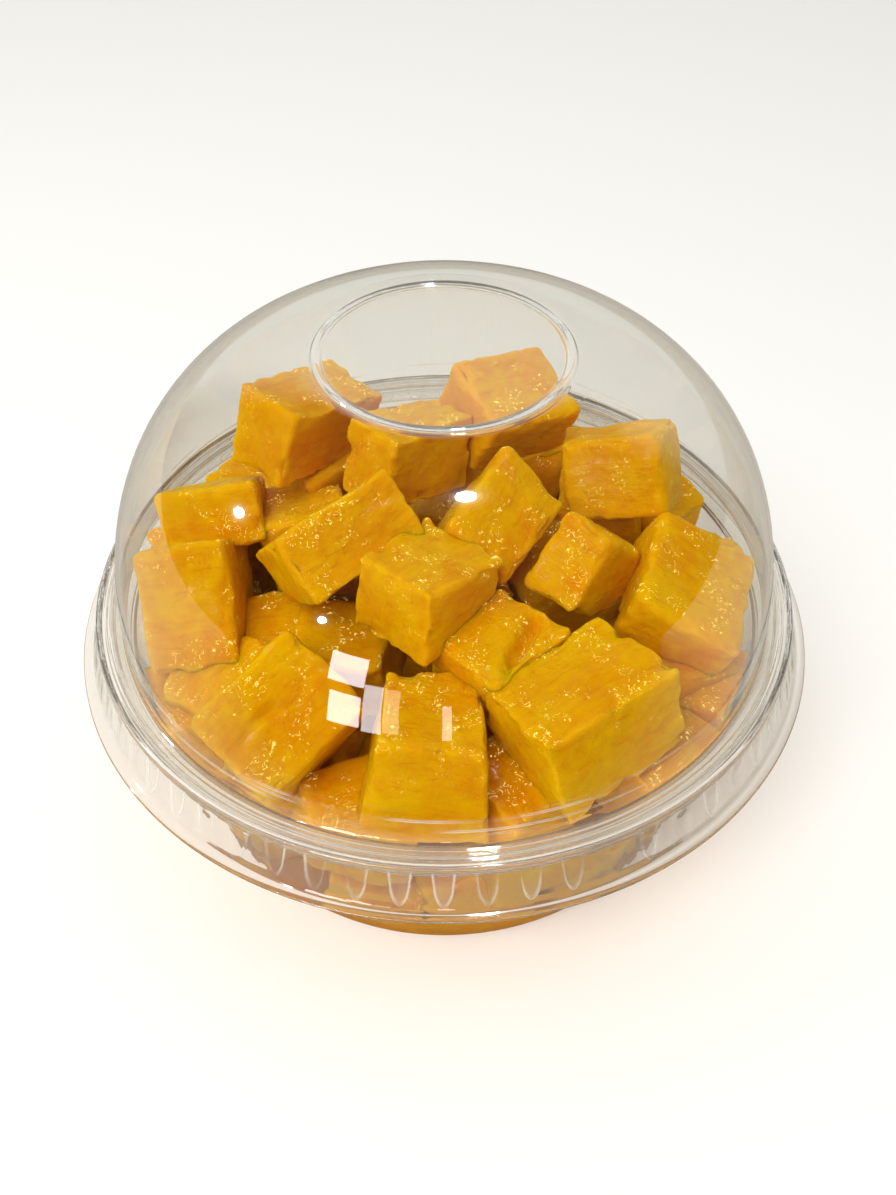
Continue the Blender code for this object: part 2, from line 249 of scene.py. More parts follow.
# Heights in mm between which the walls' tint turns into the rim's
CUP_RIM_SPAN = (29.0, 31.0)
LID_RIM_SPAN = (37.0, 35.6)

# Fruit, as red, green and blue from 0 to 255, with a paler yellow painted on the edges as light shining
# through them, and the glow of its painted glints
MANGO_YELLOW = (231, 179, 1)
MANGO_ORANGE = (222, 146, 0)
MANGO_DEEP = (190, 100, 0)
MANGO_EDGE_GLOW = (243, 188, 12)
JUICE_COLOUR = (202, 138, 3)
GLINT_COLOUR = (0.8, 0.85, 0.28, 1.0)

# Patterns in the fruit's colour, its wet film and its painted glints, in waves per mm, and the film's
# height in mm. Fibres run along a cube's length.
PATCH_SCALE = 0.13
MOTTLE_SCALE = 0.6
FIBRE_SCALE = 1.0
FIBRE_SQUEEZE = (0.2, 1.0, 1.0)
FILM_GRAIN_SCALE = 1.3
FILM_BEAD_SCALE = 0.3
FILM_STRAND_SCALE = 1.8
FILM_HEIGHT = 0.4
GLINT_LINE_SCALE = 1.15
GLINT_PIECE_SCALE = 1.9
GLINT_PATCH_SCALE = 0.27

# Camera, from the photograph's perspective
PHOTO_HEIGHT = 1195
FOCAL_PIXELS = 1240.0
EYE = (0.5, -125.18, 156.54)
AIM = (0.5, 0.0, 30.7)
SENSOR = 36.0

FLOOR_SIZE = 6000.0
FLOOR_DROP = 0.02
FLOOR_COLOURS = ((0.92, 0.925, 0.935, 1.0), (0.94, 0.945, 0.955, 1.0))
# The painted reflection of the floor in the plastic, a glow in place of the lit floor: in front of the
# cup, then beside and behind it
FLOOR_MIRRORED = ((0.03, 0.02, 0.008, 1.0), (0.55, 0.50, 0.42, 1.0))

# The room: its bright wall and its dim side, what the plastic mirrors of it, and the backdrop
ROOM_BRIGHT = (0.84, 0.86, 0.84, 1.0)
ROOM_DIM = (0.42, 0.39, 0.34, 1.0)
MIRRORED_WALL = (0.03, 0.022, 0.012, 1.0)
MIRRORED_CEILING = (0.05, 0.045, 0.035, 1.0)
BACKDROP = (0.86, 0.86, 0.85, 1.0)
LIGHT_BOUNCES = 16

# Lights face a point on the cup's axis at this height in mm; a direction is azimuth and
# elevation in degrees
LIT_HEIGHT = 40.0
KEY_DIRECTION = (-146, 54)
KEY_DISTANCE = 800
KEY_SIZE = 560
KEY_RADIANCE = 5.6
KEY_COLOUR = (1.0, 0.98, 0.94)

# Lamps: name, azimuth, elevation, size in mm and how bright the glow round it is
LAMP_DISTANCE = 500
LAMP_RADIANCE = 600.0
LAMPS = (
    ("lamp_left", -86.0, 35.0, 30.0, 1.0),
    ("lamp_over", 58.6, 84.6, 36.0, 1.2),
    ("lamp_front", -138.5, 28.6, 24.0, 0.5),
)
# The rings of a glow: how much wider than the lamp, and the share of its brightness
GLOW_RINGS = ((1.3, 3.0), (1.7, 1.2), (2.3, 0.4), (3.0, 0.15))

# Window panes: azimuth, elevation, width and height in degrees, radiance and colour
WINDOW_DISTANCE = 260.0
WINDOW_WHITE = (1.0, 0.97, 0.98)
WINDOW_WARM = (1.0, 0.86, 0.62)
WINDOW_PANES = (
    (-152.6, 14.2, 10.2, 11.2, 14.0, WINDOW_WHITE),
    (-152.8, -1.2, 8.8, 12.0, 13.0, WINDOW_WHITE),
    (-160.6, 1.0, 5.4, 18.4, 10.0, WINDOW_WHITE),
    (-165.9, 1.2, 4.2, 17.0, 4.0, WINDOW_WARM),
    (179.4, -2.0, 2.6, 13.0, 6.0, WINDOW_WHITE),
)


def lerp(a, b, share):
    """The value at a share of the way from a to b."""
    return a + (b - a) * share


def smoothstep(low, high, value):
    """Rises smoothly from 0 at low to 1 at high."""
    t = min(1.0, max(0.0, (value - low) / (high - low)))
    return t * t * (3 - 2 * t)


def add_piece(name, points, faces, material, smooth=True):
    """Makes an object of points in mm, with its faces turned outwards and one material."""
    mesh = bpy.data.meshes.new(name)
    mesh.from_pydata([(x * MM, y * MM, z * MM) for x, y, z in points], [], faces)
    mesh.validate()
    bm = bmesh.new()
    bm.from_mesh(mesh)
    bmesh.ops.recalc_face_normals(bm, faces=bm.faces)
    bm.to_mesh(mesh)
    bm.free()
    if smooth:
        mesh.shade_smooth()
    mesh.materials.append(material)
    piece = bpy.data.objects.new(name, mesh)
    bpy.context.scene.collection.objects.link(piece)
    return piece


# Turned shells


def arc(centre, radius, start, end, steps, rise=None):
    """Points of an arc of a section between two angles in degrees; an oval one has its own rise."""
    points = []
    for i in range(steps + 1):
        a = math.radians(lerp(start, end, i / steps))
        points.append((centre[0] + radius * math.cos(a), centre[1] + (rise or radius) * math.sin(a)))
    return points


def cup_inner_radius(height):
    """Inside radius of the cup's wall at a height."""
    slope = (CUP_TOP_RADIUS - FOOT_RADIUS) / (CUP_WALL_TOP - FOOT_FILLET)
    return FOOT_RADIUS + slope * (height - FOOT_FILLET) - CUP_WALL


def dome_rise(radius, wall):
    """Height of the dome's curve above the flange at a radius."""
    share = min(1.0, radius / (DOME_RADIUS - wall))
    return (DOME_HEIGHT - wall) * (1 - share ** DOME_SIDE_POWER) ** (1 / DOME_TOP_POWER)


def dome_radius(rise, wall):
    """Radius of the dome's curve at a height above the flange."""
    share = min(1.0, max(0.0, rise / (DOME_HEIGHT - wall)))
    return (DOME_RADIUS - wall) * (1 - share ** DOME_TOP_POWER) ** (1 / DOME_SIDE_POWER)


def cup_outline():
    """Closed section of the cup: underside from the middle, wall, rolled rim and back inside."""
    fillet_centre = (FOOT_RADIUS - FOOT_FILLET, FOOT_FILLET)
    outline = [(0.0, BASE_PANEL_RISE)]
    outline += [(BASE_PANEL_RADIUS - 0.4, BASE_PANEL_RISE), (BASE_PANEL_RADIUS, BASE_PANEL_RISE - 0.15)]
    outline += [(STAND_RING_INNER - 0.2, 0.12), (STAND_RING_INNER + 0.3, 0.0)]
    outline += [(STAND_RING_OUTER, 0.0)]
    outline += arc(fillet_centre, FOOT_FILLET, -75, 0, 8)
    outline += [(CUP_TOP_RADIUS, CUP_WALL_TOP)]
    outline += arc(CURL_CENTRE, CURL_ACROSS - CUP_WALL, 180, CURL_END, 24, CURL_UP - CUP_WALL)
    outline += arc(CURL_CENTRE, CURL_ACROSS, CURL_END, 180, 24, CURL_UP)
    outline += [(CUP_TOP_RADIUS - CUP_WALL, CUP_WALL_TOP)]
    outline += arc(fillet_centre, FOOT_FILLET - CUP_WALL, 0, -75, 8)
    outline += [(STAND_RING_INNER + 0.6, CUP_WALL), (STAND_RING_INNER + 0.1, CUP_WALL + 0.12)]
    outline += [(BASE_PANEL_RADIUS + 0.3, BASE_PANEL_RISE + CUP_WALL - 0.15)]
    outline += [(BASE_PANEL_RADIUS - 0.1, BASE_PANEL_RISE + CUP_WALL), (0.0, BASE_PANEL_RISE + CUP_WALL)]
    return outline


def rippled(radius, height, angle):
    """A point at an angle, drawn in a hair by the plastic's slow ripples."""
    x, y = radius * math.cos(angle), radius * math.sin(angle)
    inwards = RIPPLE_HEIGHT * (noise.noise(Vector((x, y, height)) / RIPPLE_LENGTH) - 1)
    length = math.hypot(radius, height)
    scale = 1 + inwards / length if length else 1.0
    return x * scale, y * scale, height * scale


def plateau_height(radius, wall):
    """Height of the lid's flat top with its ring, and of the dome's shoulder beside it."""
    flat = PLATEAU_RISE - wall
    dome = dome_rise(radius, wall)
    closeness = math.exp(-flat / PLATEAU_BLEND) + math.exp(-dome / PLATEAU_BLEND)
    level = -PLATEAU_BLEND * math.log(closeness)
    from_ring = abs(radius - TOP_RING_RADIUS) / TOP_RING_HALF_WIDTH
    return FLANGE_TOP + level + TOP_RING_HEIGHT * (1 - smoothstep(0.35, 1.3, from_ring))


def top_surface(wall):
    """Section of the lid's top and dome, from the middle down to the dome's foot."""
    outline = [(0.0, plateau_height(0.0, wall))]
    start = TOP_RING_RADIUS - 2 * TOP_RING_HALF_WIDTH
    end = PLATEAU_RADIUS + SHOULDER_WIDTH
    outline += [(r, plateau_height(r, wall)) for r in PLATEAU_LINES]
    for i in range(RING_STEPS + 1):
        radius = lerp(start, end, i / RING_STEPS)
        outline.append((radius, plateau_height(radius, wall)))
    first = math.acos((end / (DOME_RADIUS - wall)) ** (DOME_SIDE_POWER / 2))
    last = math.asin((DOME_FOOT_RISE / (DOME_HEIGHT - wall)) ** (DOME_TOP_POWER / 2))
    for i in range(1, DOME_STEPS + 1):
        t = lerp(first, last, i / DOME_STEPS)
        radius = (DOME_RADIUS - wall) * math.cos(t) ** (2 / DOME_SIDE_POWER)
        rise = (DOME_HEIGHT - wall) * math.sin(t) ** (2 / DOME_TOP_POWER)
        outline.append((radius, FLANGE_TOP + rise))
    return outline


def flange_surface():
    """Section of the flange's ribbed top, from the dome's foot to its rounded edge."""
    valley = FLANGE_TOP - RIB_HEIGHT
    foot = (DOME_RADIUS + DOME_FOOT_FILLET, valley + DOME_FOOT_FILLET)
    start = DOME_RADIUS + DOME_FOOT_FILLET + 0.1
    end = FLANGE_RADIUS - FLANGE_EDGE_ROUNDING
    outline = arc(foot, DOME_FOOT_FILLET, 190, 268, 10)
    for i in range(FLANGE_STEPS + 1):
        radius = lerp(start, end, i / FLANGE_STEPS)
        ribs = sum(1 - smoothstep(0.2, 1.6, abs(radius - rib) / RIB_HALF_WIDTH) for rib in RIB_RADII)
        edge = smoothstep(end - 0.6, end - 0.1, radius)
        fine = FINE_LINE_HEIGHT * math.sin(2 * math.pi * radius / FINE_LINE_SPACING)
        level = valley + RIB_HEIGHT * min(1.0, RIB_SHARE * ribs + edge)
        outline.append((radius, level + fine * (1 - edge)))
    corner = (FLANGE_RADIUS - FLANGE_EDGE_ROUNDING, FLANGE_TOP - FLANGE_EDGE_ROUNDING)
    outline += arc(corner, FLANGE_EDGE_ROUNDING, 75, 0, 4)
    return outline


def skirt_surface(inset):
    """Section of the skirt between its flutes, from the flange's edge down to the lip."""
    outline = []
    for i in range(SKIRT_STEPS + 1):
        share = i / SKIRT_STEPS
        drop = lerp(FLUTE_TOP_DROP, FLUTE_FOOT_DROP, share)
        outline.append((lerp(FLANGE_RADIUS, SKIRT_FOOT_RADIUS, share) - inset, FLANGE_TOP - drop))
    return outline


def lid_outline():
    """Closed section of the lid, from the middle of its top, round the lip and back inside."""
    lip_height = FLANGE_TOP - LIP_DROP
    outline = top_surface(0.0) + flange_surface() + skirt_surface(0.0)
    outline += [(SKIRT_FOOT_RADIUS + 0.25, lip_height + LIP_THICKNESS + 0.08)]
    outline += [(SKIRT_FOOT_RADIUS + 0.5, lip_height + LIP_THICKNESS)]
    outline += arc((LIP_RADIUS - 0.22, lip_height + 0.22), 0.22, 80, -90, 6)
    outline += [(SKIRT_FOOT_RADIUS + 0.05, lip_height)]
    outline += list(reversed(skirt_surface(LID_WALL)))
    underside = FLANGE_TOP - RIB_HEIGHT - LID_WALL
    outline += [(FLANGE_RADIUS - LID_WALL - 0.05, underside - 0.1)]
    outline += [(FLANGE_RADIUS - 2 * LID_WALL, underside)]
    foot = (DOME_RADIUS + DOME_FOOT_FILLET, underside + LID_WALL + DOME_FOOT_FILLET)
    outline += arc(foot, DOME_FOOT_FILLET + LID_WALL, 268, 190, 10)
    outline += list(reversed(top_surface(LID_WALL)))
    return outline


def lid_point(radius, height, angle):
    """The lid is round, with its skirt pushed in at each flute."""
    drop = FLANGE_TOP - height
    if FLUTE_TOP_DROP < drop < FLUTE_FOOT_DROP and radius > CUP_TOP_RADIUS + 2:
        share = (drop - FLUTE_TOP_DROP) / (FLUTE_FOOT_DROP - FLUTE_TOP_DROP)
        half_width = lerp(FLUTE_TOP_HALF_WIDTH, FLUTE_FOOT_HALF_WIDTH, share)
        pitch = 2 * math.pi / FLUTES
        offset = (angle / pitch - round(angle / pitch)) * pitch * radius
        across = 1 - smoothstep(0.4, 1.1, abs(offset) / half_width)
        depth = FLUTE_DEPTH * smoothstep(0.0, 0.3, share) * lerp(1.0, 0.25, share)
        radius -= depth * across * (1 - smoothstep(0.93, 1.0, share))
    return rippled(radius, height, angle)


def turned_shell(name, outline, segments, place, material):
    """Turns a closed section round the axis; its first and last points lie on the axis."""
    points = [place(*outline[0], 0.0)]
    rings = []
    for radius, height in outline[1:-1]:
        rings.append(len(points))
        points += [place(radius, height, 2 * math.pi * k / segments) for k in range(segments)]
    last = len(points)
    points.append(place(*outline[-1], 0.0))
    faces = []
    for k in range(segments):
        following = (k + 1) % segments
        faces.append((0, rings[0] + k, rings[0] + following))
        faces.append((last, rings[-1] + following, rings[-1] + k))
        for first, second in zip(rings, rings[1:]):
            faces.append((first + k, second + k, second + following, first + following))
    return add_piece(name, points, faces, material)


# Mango cubes


def fruit_limit(height):
    """Largest radius that fruit reaches inside the cup and the lid at a height."""
    if height < FLANGE_TOP - RIB_HEIGHT:
        return min(cup_inner_radius(height), CUP_TOP_RADIUS - CUP_WALL) - FRUIT_GAP
    rise = height - FLANGE_TOP + RIB_HEIGHT
    return min(dome_radius(rise, LID_WALL), CUP_TOP_RADIUS) - FRUIT_GAP


def fill_cubes():
    """Placements of the cubes that fill the cup, where they are clear of the shown ones."""
    rng = random.Random(FILL_SEED)
    fixed = SHOWN_CUBES + SUPPORT_CUBES
    placements = []
    for layer, (level, radii) in enumerate(FILL_LAYERS):
        for count, radius in zip(FILL_PER_RING, radii):
            for i in range(count):
                shift = 0.5 * layer + rng.uniform(-FILL_RING_SPREAD, FILL_RING_SPREAD)
                a = 2 * math.pi * (i + shift) / count
                out = radius + rng.uniform(-FILL_INWARDS, FILL_OUTWARDS)
                rise = level + rng.uniform(-FILL_LEVEL_SPREAD, FILL_LEVEL_SPREAD)
                if level == FILL_LAYERS[-1][0]:
                    rise -= FILL_BACK_DROP * max(0.0, math.sin(a)) * out / radii[-1]
                centre = (out * math.cos(a), out * math.sin(a), rise)
                size = [FILL_SIZE + rng.uniform(-FILL_SIZE_SPREAD, FILL_SIZE_SPREAD) for _ in range(3)]
                lean = [rng.uniform(-FILL_LEAN, FILL_LEAN) for _ in range(2)]
                turn = math.degrees(a) + rng.uniform(-FILL_TURN_SPREAD, FILL_TURN_SPREAD)
                clearance = FILL_CLEARANCE_BACK if centre[1] > 0 else FILL_CLEARANCE_FRONT
                if min(math.dist(centre, placed[:3]) for placed in fixed) > clearance:
                    placements.append((*centre, *size, *lean, turn))
    return placements


def grid_lines(half, radius, step):
    """Places of the grid lines across one side of a cube, closer together at its round edges."""
    turns = [math.tan(math.radians(45 * i / EDGE_STEPS)) for i in range(1, EDGE_STEPS + 1)]
    edge = [half - radius + radius * turn for turn in turns]
    count = max(2, round(2 * (half - radius) / step))
    middle = [lerp(-(half - radius), half - radius, i / count) for i in range(count + 1)]
    return [-e for e in reversed(edge)] + middle + edge


def box_surface(halves, radius, step):
    """Points on a box's six sides as a closed grid, and its faces."""
    lines = [grid_lines(half, radius, step) for half in halves]
    index = {}
    points = []
    faces = []

    def number(key):
        if key not in index:
            index[key] = len(points)
            points.append(Vector([lines[axis][key[axis]] for axis in range(3)]))
        return index[key]

    for axis in range(3):
        u, v = (axis + 1) % 3, (axis + 2) % 3
        for side in (0, len(lines[axis]) - 1):
            for i in range(len(lines[u]) - 1):
                for j in range(len(lines[v]) - 1):
                    corners = []
                    for du, dv in ((0, 0), (1, 0), (1, 1), (0, 1)):
                        key = [0, 0, 0]
                        key[axis], key[u], key[v] = side, i + du, j + dv
                        corners.append(number(tuple(key)))
                    faces.append(tuple(corners if side else reversed(corners)))
    return points, faces


def rounded(point, halves, radius):
    """Pulls a point of the box onto its rounded edges, and gives the surface's direction there."""
    inner = Vector([min(h - radius, max(radius - h, c)) for c, h in zip(point, halves)])
    normal = (point - inner).normalized()
    return inner + normal * radius, normal


def corner_warp(rng, amount):
    """Random shifts of a box's eight corners, so that its faces aren't parallel."""
    return [Vector([rng.uniform(-amount, amount) for _ in range(3)]) for _ in range(8)]


def warp(point, halves, shifts):
    """Moves a point with the corners' shifts."""
    shares = [(c / h + 1) / 2 for c, h in zip(point, halves)]
    moved = point.copy()
    for k, shift in enumerate(shifts):
        weight = 1.0
        for axis in range(3):
            weight *= shares[axis] if k >> axis & 1 else 1 - shares[axis]
        moved += shift * weight
    return moved


def random_cuts(rng, halves):
    """A few short, shallow cuts that run roughly along the fibres on a cube's sides."""
    cuts = []
    for _ in range(RANDOM_CUTS):
        axis = rng.choice((1, 2))
        start = [rng.uniform(-RANDOM_CUT_SPREAD, RANDOM_CUT_SPREAD) * half for half in halves]
        start[axis] = rng.choice((-1, 1)) * halves[axis]
        end = list(start)
        end[0] += rng.uniform(-RANDOM_CUT_REACH, RANDOM_CUT_REACH)
        other = 3 - axis
        end[other] += rng.uniform(-RANDOM_CUT_SLANT, RANDOM_CUT_SLANT)
        half_width = rng.uniform(*RANDOM_CUT_HALF_WIDTHS)
        cuts.append((*start, *end, half_width, rng.uniform(*RANDOM_CUT_DEPTHS)))
    return cuts


def cut_depth(point, cuts):
    """How deep the cuts are at a point: each is a notch round a straight line."""
    depth = 0.0
    for cut in cuts:
        start, end = Vector(cut[0:3]), Vector(cut[3:6])
        along = end - start
        share = min(1.0, max(0.0, (point - start).dot(along) / along.length_squared))
        distance = (point - start - along * share).length
        depth = max(depth, cut[7] * (1 - distance / cut[6]))
    return depth


def edge_distance(point, halves):
    """How far a point of a cube's surface is from the nearest edge."""
    return sorted(half - abs(c) for c, half in zip(point, halves))[1]


def relief(point, halves, seed, cuts):
    """Unevenness of a cut face in mm: slow waves, lumps, fibres, torn edges and short cuts."""
    where = point + Vector(RELIEF_OFFSET) * seed
    wave = noise.noise(where / WAVE_LENGTH) * WAVE_HEIGHT
    lump = noise.noise(where / LUMP_LENGTH) * LUMP_HEIGHT
    grain = noise.fractal(where / CUT_LENGTH, 0.8, 2.2, 2) * CUT_HEIGHT
    along = Vector((where.x * FIBRE_STRETCH, where.y, where.z)) / FIBRE_SPACING
    fibre = noise.noise(along) * FIBRE_HEIGHT
    torn = max(0.0, noise.noise(where / NIBBLE_LENGTH)) * NIBBLE_DEPTH
    torn *= 1 - smoothstep(0.0, NIBBLE_REACH, edge_distance(point, halves))
    return wave + lump + grain + fibre - torn - cut_depth(point, cuts)


def cube_frame(placement):
    """Turn, then lean, then place: the matrix of one cube in mm."""
    x, y, z, _, _, _, lean_x, lean_y, turn = placement
    angles = Euler((math.radians(lean_x), math.radians(lean_y), math.radians(turn)), "ZXY")
    return Matrix.Translation((x, y, z)) @ angles.to_matrix().to_4x4()


def keep_inside(point):
    """Moves a point in from the cup's base, its wall and the dome."""
    point.z = max(point.z, BASE_PANEL_RISE + CUP_WALL + FRUIT_GAP)
    radius = math.hypot(point.x, point.y)
    limit = fruit_limit(point.z)
    if radius > limit:
        point.x *= limit / radius
        point.y *= limit / radius
    return point


def cube_mesh(number, placement, step):
    """One cube: its points in place, faces, own coordinates, nearness to its edges for their painted
    glow, and tone.
    """
    rng = random.Random(CUBE_SEED + number)
    halves = [size / 2 for size in placement[3:6]]
    radius = EDGE_RADIUS + rng.uniform(-EDGE_RADIUS_SPREAD, EDGE_RADIUS_SPREAD)
    shifts = corner_warp(rng, CORNER_SHIFT)
    tone = rng.uniform(0.0, 1.0)
    cuts = random_cuts(rng, halves) + list(OWN_CUTS.get(number, ()))
    taper = OWN_TAPERS.get(number, 0.0)
    matrix = cube_frame(placement)
    box, faces = box_surface(halves, radius, step)
    points = []
    local = []
    edge_glow_shares = []
    for corner in box:
        surface, normal = rounded(corner, halves, radius)
        shaped = warp(surface, halves, shifts) + normal * relief(surface, halves, number, cuts)
        shaped.x -= taper * shaped.z / halves[2] * shaped.x / halves[0]
        points.append(keep_inside(matrix @ shaped))
        local.append(surface + Vector(COLOUR_OFFSET) * (number + 1))
        # Nearness to the edges, where a paler colour is painted as light shining through
        edge_glow_shares.append(1 - smoothstep(0.0, EDGE_GLOW_WIDTH, edge_distance(surface, halves)))
    return points, faces, local, edge_glow_shares, tone


def mango_piece(name, placements, first_number, step, material):
    """Several cubes as one mesh, with each cube's own coordinates and tone kept for its colour."""
    points, faces, local, edge_glow_shares, tones = [], [], [], [], []
    for offset, placement in enumerate(placements):
        cube = cube_mesh(first_number + offset, placement, step)
        start = len(points)
        points += cube[0]
        faces += [tuple(start + i for i in face) for face in cube[1]]
        local += cube[2]
        edge_glow_shares += cube[3]
        tones += [cube[4]] * len(cube[0])
    piece = add_piece(name, points, faces, material)
    own = piece.data.attributes.new("own_place", "FLOAT_VECTOR", "POINT")
    own.data.foreach_set("vector", [c for place in local for c in place])
    for label, values in (("rim", edge_glow_shares), ("tone", tones)):
        kept = piece.data.attributes.new(label, "FLOAT", "POINT")
        kept.data.foreach_set("value", values)
    return piece


# Materials


class Nodes:
    """Short ways to add and link shader nodes."""

    def __init__(self, tree):
        self.tree = tree

    def link(self, value, socket):
        """Links a node's output to another node's input."""
        self.tree.links.new(value, socket)

    def add(self, kind, inputs=None, **settings):
        """A new node; an input is a value or another node's socket."""
        node = self.tree.nodes.new(kind)
        for name, value in settings.items():
            setattr(node, name, value)
        for name, value in (inputs or {}).items():
            if isinstance(value, bpy.types.NodeSocket):
                self.link(value, node.inputs[name])
            else:
                node.inputs[name].default_value = value
        return node

    def math(self, operation, first, second=0.0):
        """The result of one sum."""
        node = self.add("ShaderNodeMath", {0: first, 1: second}, operation=operation)
        return node.outputs[0]

    def product(self, first, *others):
        """The product of two or more values."""
        for other in others:
            first = self.math("MULTIPLY", first, other)
        return first

    def stretch(self, where, factors):
        """A place stretched along its axes."""
        return self.add("ShaderNodeVectorMath", {0: where, 1: factors}, operation="MULTIPLY").outputs[0]

    def noise(self, where, scale, detail=2.0, roughness=0.5, distortion=0.0):
        """A soft random pattern, about 0.5 on average."""
        inputs = {"Vector": where, "Scale": scale, "Detail": detail, "Roughness": roughness}
        node = self.add("ShaderNodeTexNoise", {**inputs, "Distortion": distortion})
        return node.outputs["Fac"]

    def span(self, value, low, high, to_low=0.0, to_high=1.0):
        """Goes evenly from one value to another between low and high, and stays there."""
        inputs = {"Value": value, "From Min": low, "From Max": high, "To Min": to_low, "To Max": to_high}
        return self.add("ShaderNodeMapRange", inputs, clamp=True).outputs["Result"]

    def mix(self, share, first, second):
        """A colour at a share of the way from the first to the second."""
        node = self.add("ShaderNodeMix", data_type="RGBA")
        for number, value in ((0, share), (6, first), (7, second)):
            socket = node.inputs[number]
            if isinstance(value, bpy.types.NodeSocket):
                self.link(value, socket)
            else:
                socket.default_value = value
        return node.outputs[2]


def new_material(name):
    """A material with its Principled shader and the node helper."""
    material = bpy.data.materials.new(name)
    material.use_nodes = True
    shader = material.node_tree.nodes["Principled BSDF"]
    return material, shader, Nodes(material.node_tree)


def linear(red, green, blue):
    """A colour given as 0 to 255, in the renderer's linear values."""
    def channel(value):
        share = value / 255
        return share / 12.92 if share <= 0.04045 else ((share + 0.055) / 1.055) ** 2.4
    return channel(red), channel(green), channel(blue), 1.0


def mango_material(name):
    """Ripe mango flesh: yellow to orange, with fibres along the cube, a wet, uneven film, paler edges
    painted as light shining through, and painted glints.
    """
    material, shader, nodes = new_material(name)
    own = nodes.add("ShaderNodeAttribute", attribute_name="own_place").outputs["Vector"]
    tone = nodes.add("ShaderNodeAttribute", attribute_name="tone").outputs["Fac"]
    rim = nodes.add("ShaderNodeAttribute", attribute_name="rim").outputs["Fac"]
    stretched = nodes.stretch(own, FIBRE_SQUEEZE)
    patches = nodes.noise(own, PATCH_SCALE, 3.0, 0.55)
    mottle = nodes.noise(own, MOTTLE_SCALE, 4.0, 0.6)
    fibres = nodes.noise(stretched, FIBRE_SCALE, 3.0, 0.6, 1.2)
    shade = nodes.span(patches, 0.32, 0.68, -0.1, 0.75)
    shade = nodes.math("ADD", shade, nodes.product(tone, 0.3))
    shade = nodes.math("ADD", shade, nodes.span(fibres, 0.35, 0.65, -0.14, 0.14))
    shade = nodes.math("ADD", shade, nodes.span(mottle, 0.35, 0.65, -0.2, 0.2))
    colour = nodes.mix(nodes.span(shade, 0.0, 1.0), linear(*MANGO_YELLOW), linear(*MANGO_ORANGE))
    colour = nodes.mix(nodes.span(fibres, 0.58, 0.72, 0.0, 0.25), colour, linear(*MANGO_DEEP))
    # Painted light: the edges paler, as if light shone through the flesh there
    colour = nodes.mix(nodes.product(rim, 0.3), colour, linear(*MANGO_EDGE_GLOW))
    nodes.link(colour, shader.inputs["Base Color"])
    shader.inputs["Subsurface Weight"].default_value = 0.6
    shader.inputs["Subsurface Radius"].default_value = (1.0, 0.7, 0.3)
    shader.inputs["Subsurface Scale"].default_value = 0.0018
    shader.inputs["Specular IOR Level"].default_value = 0.0
    shader.inputs["IOR"].default_value = 1.38
    shader.inputs["Coat Weight"].default_value = 0.4
    shader.inputs["Coat Roughness"].default_value = 0.08
    shader.inputs["Coat IOR"].default_value = 1.34
    shader.inputs["Roughness"].default_value = 0.45
    grain = nodes.math("SUBTRACT", nodes.noise(own, FILM_GRAIN_SCALE, 2.0, 0.6), 0.5)
    beads = nodes.span(nodes.noise(own, FILM_BEAD_SCALE, 2.0, 0.5), 0.45, 0.68, 0.2, 1.0)
    strands = nodes.math("SUBTRACT", nodes.noise(stretched, FILM_STRAND_SCALE, 2.0, 0.6), 0.5)
    height = nodes.math("ADD", nodes.product(grain, beads), nodes.product(strands, 0.22))
    bump = nodes.add("ShaderNodeBump", {"Height": height, "Strength": 1.0, "Distance": FILM_HEIGHT * MM})
    nodes.link(bump.outputs[0], shader.inputs["Normal"])
    nodes.link(bump.outputs[0], shader.inputs["Coat Normal"])
    # Painted highlights: the glints glow by emission, whatever light falls on them
    painted_glint_colour = nodes.mix(painted_glints(nodes, own), (0.0, 0.0, 0.0, 1.0), GLINT_COLOUR)
    nodes.link(painted_glint_colour, shader.inputs["Emission Color"])
    shader.inputs["Emission Strength"].default_value = 1.0
    material.cycles.emission_sampling = "NONE"
    return material


def painted_glints(nodes, own):
    """Painted highlights: tiny bright squiggles of glow, standing in for wet pulp catching the light
    from above, as bits of fine lines on upper sides.
    """
    fine = nodes.noise(own, GLINT_LINE_SCALE, 1.0, 0.5, 0.8)
    off_line = nodes.math("ABSOLUTE", nodes.math("SUBTRACT", fine, 0.5))
    line = nodes.span(off_line, 0.014, 0.03, 1.0, 0.0)
    pieces = nodes.span(nodes.noise(own, GLINT_PIECE_SCALE, 1.0, 0.5), 0.5, 0.57)
    patches = nodes.span(nodes.noise(own, GLINT_PATCH_SCALE, 2.0, 0.5), 0.51, 0.59)
    # Painted glints show only on sides that face up, towards the light
    normal = nodes.add("ShaderNodeNewGeometry").outputs["Normal"]
    up = nodes.add("ShaderNodeSeparateXYZ", {0: normal}).outputs["Z"]
    return nodes.product(line, pieces, patches, nodes.span(up, 0.15, 0.6))


def clear_material(name, tint, rim_span, is_lid):
    """Thin clear moulded plastic, a little hazy at its rim, which begins between two heights in mm; on
    the lid, painted highlights and reflections as pale lines.
    """
    material, shader, nodes = new_material(name)
    where = nodes.add("ShaderNodeTexCoord").outputs["Object"]
    parts = nodes.add("ShaderNodeSeparateXYZ", {0: where})
    rim = nodes.span(parts.outputs["Z"], rim_span[0] * MM, rim_span[1] * MM)
    nodes.link(nodes.mix(rim, tint, RIM_TINT), shader.inputs["Base Color"])
    shader.inputs["Roughness"].default_value = 0.0
    shader.inputs["IOR"].default_value = PLASTIC_IOR
    haze = nodes.product(rim, RIM_HAZE)
    if is_lid:
        # Painted highlights and reflections: pale lines where less light passes through the lid
        haze = nodes.math("MAXIMUM", haze, painted_highlights_and_ring_haze(nodes, where, parts))
    nodes.link(nodes.math("SUBTRACT", 1.0, haze), shader.inputs["Transmission Weight"])
    shader.inputs["Transmission Weight"].default_value = 1.0
    return material


